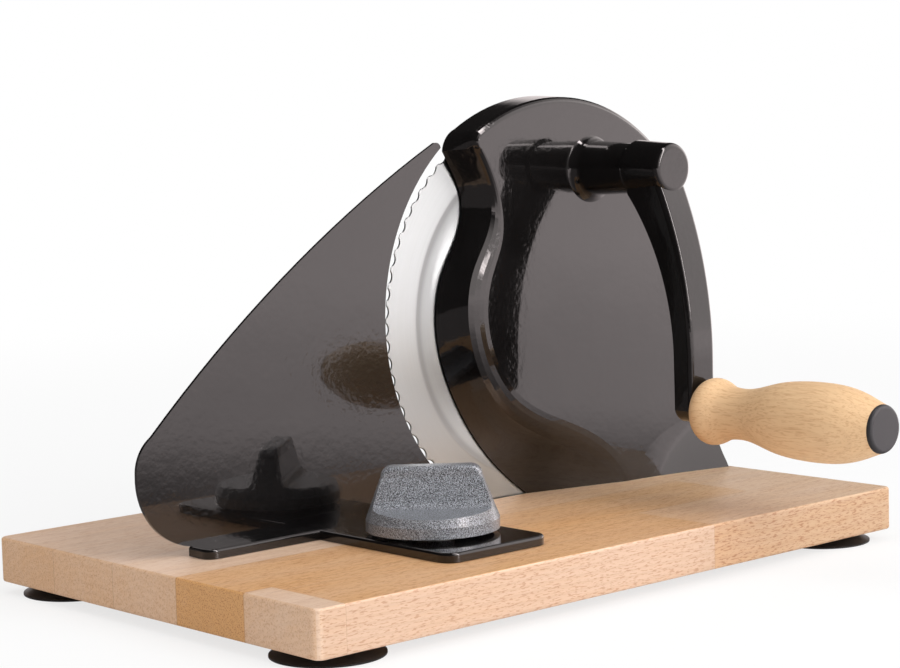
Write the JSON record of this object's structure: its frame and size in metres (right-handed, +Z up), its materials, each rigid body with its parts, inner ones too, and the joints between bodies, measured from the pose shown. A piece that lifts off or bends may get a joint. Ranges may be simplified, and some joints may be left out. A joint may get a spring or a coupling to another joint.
{
  "type": "hand cranked bread slicer",
  "caption": "Hand cranked bread slicer: geared round blade in an enamelled housing, sliding stop plate with clamping knob, wooden board on suction feet.",
  "frame": {"origin": "middle of the bounding box in plan, on the surface that the feet stand on; the middle of the board lies 32.55 mm towards +Y from it", "axes": "+X along the board's length towards the housing, -Y towards the crank and its user's right hand, +Z up"},
  "size_m": [0.35, 0.2902, 0.2135],
  "materials": {
    "beech": "oiled laminated beech staves",
    "foot_rubber": "soft black rubber",
    "brass": "turned",
    "black_enamel": "deep black gloss enamel with a slight orange peel",
    "black_enamel_alloy": "black gloss lacquer on a casting",
    "zinc_steel": "zinc plated",
    "bronze": "sintered bronze",
    "gear_steel": "cut teeth, oiled",
    "blade_steel": "stainless steel ground in circles",
    "grip_beech": "turned beech with a matte lacquer",
    "grey_plastic": "matte dark grey",
    "guide_plastic": "slippery white plastic",
    "speckled_plastic": "black with fine grey speckles, grained"
  },
  "bodies": {
    "frame": {"base_board": "beech", "foot_front_left": "foot_rubber", "foot_front_right": "foot_rubber", "foot_rear_left": "foot_rubber", "foot_rear_right": "foot_rubber", "threaded_insert": "brass", "housing": "black_enamel", "housing_screws": "zinc_steel", "housing_washers": "zinc_steel", "blade_axle": "zinc_steel", "thrust_washer": "zinc_steel", "retaining_screw": "zinc_steel", "shaft_bush_front": "bronze", "shaft_bush_rear": "bronze", "shaft_washer": "zinc_steel"},
    "crank": {"crank_shaft": "zinc_steel", "pinion": "gear_steel", "pinion_pin": "zinc_steel", "crank_arm": "black_enamel_alloy", "crank_grub_screw": "zinc_steel", "grip_spindle": "zinc_steel", "grip_washer": "zinc_steel", "spindle_washer": "zinc_steel", "spindle_nut": "zinc_steel"},
    "blade_unit": {"drive_gear": "gear_steel", "blade": "blade_steel", "blade_screws": "zinc_steel", "axle_bush": "bronze"},
    "grip_unit": {"grip": "grip_beech", "grip_cap": "grey_plastic"},
    "slider": {"stop_plate": "black_enamel", "guide_block": "guide_plastic", "guide_screws": "zinc_steel"},
    "knob_unit": {"knob": "speckled_plastic", "knob_stud": "zinc_steel", "knob_washer": "zinc_steel"}
  },
  "joints": [
    {"name": "crank_turn", "type": "hinge", "parent": "frame", "child": "crank", "pos_m": [0.08435, 0.03255, 0.17878], "axis": [0, -1, 0], "continuous": true},
    {"name": "blade_spin", "type": "hinge", "parent": "frame", "child": "blade_unit", "pos_m": [0.064, 0.03255, 0.1105], "axis": [0, -1, 0], "continuous": true},
    {"name": "grip_spin", "type": "hinge", "parent": "crank", "child": "grip_unit", "pos_m": [0.08435, 0.03255, 0.06838], "axis": [0, -1, 0], "continuous": true},
    {"name": "stop_slide", "type": "slide", "parent": "frame", "child": "slider", "axis": [0, -1, 0], "range_m": [-0.003, 0.012]},
    {"name": "knob_turn", "type": "hinge", "parent": "frame", "child": "knob_unit", "pos_m": [-0.058, -0.01445, 0.03], "axis": [0, 0, 1], "range_deg": [0, 360]}
  ],
  "couplings": [
    {"joint": "blade_spin", "follows": "crank_turn", "ratio": -0.33803}
  ]
}
